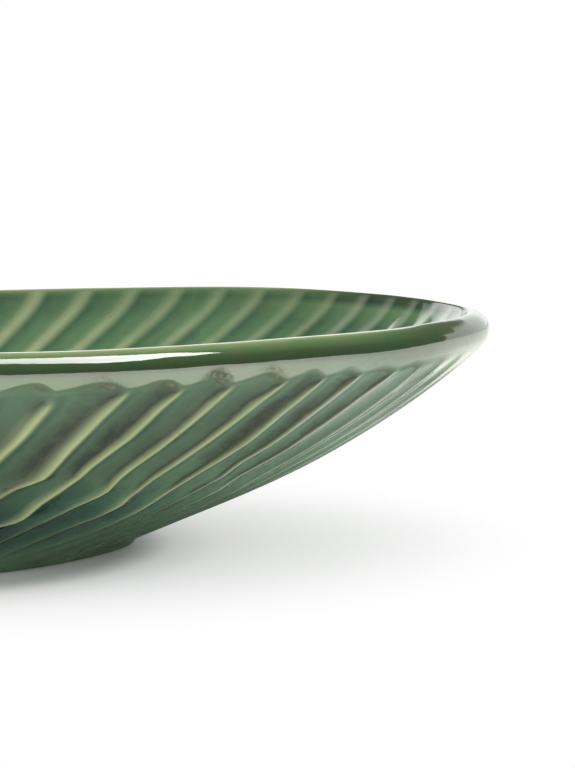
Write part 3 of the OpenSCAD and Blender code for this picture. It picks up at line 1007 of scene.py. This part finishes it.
# It starts off the plate and grows over a spread, and before the tip it starts nearer and grows more slowly
GLOW_START, GLOW_SPREAD, GLOW_NEARER = 52.0, 20.0, 40.0
# Steps out from the start, in spreads, and the share of the most that each has
GLOW_STEPS = ((0, 0.0), (0.4, 0.4), (0.7, 0.8), (1, 1.0), (50, 1.0))


def table_glow():
    turns = np.radians(np.linspace(GLOW_MOST[0][0], GLOW_MOST[0][-1], GLOW_TURNS))
    nearer = GLOW_NEARER*smooth(0.2, 0.9, np.cos(turns))
    start, spread = GLOW_START - nearer, GLOW_SPREAD + nearer
    most = np.interp(np.degrees(turns), *GLOW_MOST)
    points, values = [], []
    for further, share in GLOW_STEPS:
        plan = leaf_outline(turns) + (start + further*spread)[:, None]*outward(leaf_outline, turns)
        points += [(x, y, GLOW_Z) for x, y in plan.tolist()]
        values += blend(GLOW_LEAST, most, share).tolist()
    count = len(turns)
    faces = [[r*count + i, r*count + i + 1, (r + 1)*count + i + 1, (r + 1)*count + i]
             for r in range(len(GLOW_STEPS) - 1) for i in range(count - 1)]
    glow_card("table_glow", points, faces, values, GLOW_COLOUR)


table_glow()

# A strip of light close over the near edge gives the lip its streak, which ends in a point
STRIP_Z, STRIP_GLOW = 75.0, ([2, 14, 22], [10, 13, 17])
STRIP = ((-40, -75.5), (2, -75.3), (14, -76.4), (26, -75), (38, -74.3), (46, -73), (54, -72.8),
         (61.6, -74.3), (56, -77.1), (48, -80.8), (41.6, -90), (29, -95.5), (14.6, -91), (2, -87),
         (-40, -86))
strip_points = [(x, y, STRIP_Z) for x, y in STRIP]
glow_card("strip_light", strip_points, None, [np.interp(x, *STRIP_GLOW) for x, y in STRIP], (1, 1, 1))

# A dark flag along the strip keeps its light off the inside of the plate
FLAG_X, FLAG_Y, FLAG_Z = (-60.0, 90.0), -71.0, (70.0, 76.0)


def flag_material():
    material, tree = new_material("flag black")
    finish_material(tree, add(tree, "ShaderNodeBsdfDiffuse", Color=(0.02, 0.02, 0.02, 1)))
    return material


flag_corners = [(FLAG_X[i], FLAG_Y, FLAG_Z[j]) for i, j in ((0, 0), (1, 0), (1, 1), (0, 1))]
card("strip_flag", flag_corners, flag_material(), **ONLY_POLISH)


def soft_light(name, place, aim, size, power):
    """A square light that polish doesn't mirror, with its place, aim and size in metres."""
    data = bpy.data.lights.new(name, "AREA")
    data.shape, data.size, data.energy = "SQUARE", size, power
    lamp = set_out(name, data)
    lamp.location = Vector(place)
    lamp.rotation_mode = "QUATERNION"
    lamp.rotation_quaternion = (Vector(aim) - Vector(place)).to_track_quat("-Z", "Y")
    lamp.visible_camera = False
    lamp.visible_glossy = False


soft_light("overhead", (0.25, 0.05, 1.1), (0, 0, 0), 1.5, 13.5)
soft_light("fill", (-0.5, -1.2, 0.7), (0, 0, 0.03), 0.9, 4.0)

# The room, as the plate sees it by direction: X to the tip, Y to the back and Z up, with a length of 1.
# White cards stand behind the plate, and reach up higher to both sides: each step is where along X their top
# starts to change, where it ends, and by how much.
ROOM_LIGHT, TOP_LIGHT, CARD_LIGHT, CARD_FALL, STEM_CARD_LIGHT = 0.25, 0.5, 1.8, 0.6, 2.2
CARD_TOP, FAR_LEFT_TOP, CARD_EDGE = 0.38, 0.25, (-0.07, -0.14)
CARD_STEPS = ((0.25, 0.6, 0.16), (0.65, 0.8, -0.06), (-0.2, -0.6, 0.3))


def studio_world():
    world = bpy.data.worlds.new("studio")
    bpy.context.scene.world = world
    tree = empty_tree(world)
    light_path = add(tree, "ShaderNodeLightPath").outputs
    split = add(tree, "ShaderNodeSeparateXYZ")
    tree.links.new(add(tree, "ShaderNodeTexCoord").outputs["Generated"], split.inputs[0])
    along, back_way, up = (split.outputs[axis] for axis in "XYZ")

    def times(a, b):
        return math(tree, "MULTIPLY", a, b)

    def between(value, low, high):
        return ramp_value(tree, value, low, high)

    card_top = CARD_TOP
    for start, end, more in CARD_STEPS:
        card_top = plus_share(tree, card_top, between(along, start, end), more)
    far_left = times(between(along, -0.2, -0.4), between(back_way, 0.55, 0.75))
    card_top = plus_share(tree, card_top, far_left, FAR_LEFT_TOP)
    # The cards end beside the plate, further forward on the tip's side
    card_end = times(between(back_way, 0.26, 0.36), between(along, 0.0, 0.2))
    card_end = math(tree, "MAXIMUM", card_end, between(back_way, 0.3, 0.5))
    over_card = math(tree, "SUBTRACT", up, times(card_top, card_end))
    # Their upper edge is softer on the stem's side
    over_card = times(over_card, plus_share(tree, 1.0, between(along, 0.0, -0.2), -0.5))
    card_light = plus_share(tree, CARD_LIGHT, between(back_way, 0.1, 0.8), -CARD_FALL)
    by_stem = times(between(along, -0.1, -0.5), light_path["Is Glossy Ray"])
    by_stem = times(by_stem, between(back_way, 0.35, 0.8))
    card_light = plus_share(tree, card_light, by_stem, STEM_CARD_LIGHT)
    behind = times(between(over_card, *CARD_EDGE), card_light)
    above = times(between(up, 0.88, 0.97), TOP_LIGHT)
    seen_light = math(tree, "ADD", ROOM_LIGHT, math(tree, "MAXIMUM", behind, above))
    white = add(tree, "ShaderNodeBackground", Color=(1, 1, 1, 1), Strength=1.0)
    room = add(tree, "ShaderNodeBackground", Color=(1, 1, 1, 1))
    tree.links.new(seen_light, room.inputs["Strength"])
    pick = add(tree, "ShaderNodeMixShader")
    tree.links.new(light_path["Is Camera Ray"], pick.inputs[0])
    tree.links.new(room.outputs[0], pick.inputs[1])
    tree.links.new(white.outputs[0], pick.inputs[2])
    out = add(tree, "ShaderNodeOutputWorld")
    tree.links.new(pick.outputs[0], out.inputs["Surface"])


studio_world()

# Camera, at the viewing angle of the photograph
CAMERA_AT = (-14.0, -660.8, 115.6)
CAMERA_YAW, CAMERA_PITCH = np.radians(7.19), np.radians(6.93)
FOCAL_PIXELS, IMAGE_H, SENSOR = 3006.0, 768.0, 36.0
camera_data = bpy.data.cameras.new("camera")
camera_data.sensor_width = SENSOR
camera_data.lens = SENSOR*FOCAL_PIXELS/IMAGE_H
camera_data.clip_start, camera_data.clip_end = 0.01, 50
camera = set_out("camera", camera_data)
camera.location = Vector(CAMERA_AT)*MM
level = np.cos(CAMERA_PITCH)
gaze = Vector((np.sin(CAMERA_YAW)*level, np.cos(CAMERA_YAW)*level, -np.sin(CAMERA_PITCH)))
camera.rotation_mode = "QUATERNION"
camera.rotation_quaternion = gaze.to_track_quat("-Z", "Y")
bpy.context.scene.camera = camera
bpy.context.scene.view_settings.view_transform = "Standard"
